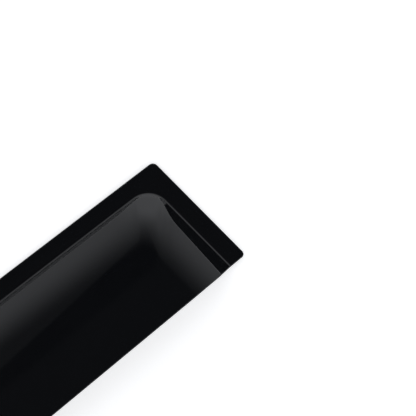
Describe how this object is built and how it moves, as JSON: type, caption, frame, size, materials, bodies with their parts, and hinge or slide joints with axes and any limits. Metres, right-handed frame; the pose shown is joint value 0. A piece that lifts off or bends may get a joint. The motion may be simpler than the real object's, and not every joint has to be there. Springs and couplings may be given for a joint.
{
  "type": "window rain deflector",
  "caption": "Gloss black stick-on rain deflector for a car side window, with a flat flange on its top and ends and a face that bulges out to a free lower edge.",
  "frame": {"origin": "middle of the outline, on the face that sticks to the door", "axes": "+X along the window, +Y up the door towards the top flange, +Z away from the door"},
  "size_m": [0.5592, 0.105, 0.0203],
  "materials": {
    "smoked_acrylic": "polished dark smoke",
    "foam_tape": "matt closed-cell foam"
  },
  "bodies": {
    "root": {"visor_shell": "smoked_acrylic", "top_tape": "foam_tape", "left_tape": "foam_tape", "right_tape": "foam_tape"}
  },
  "joints": []
}
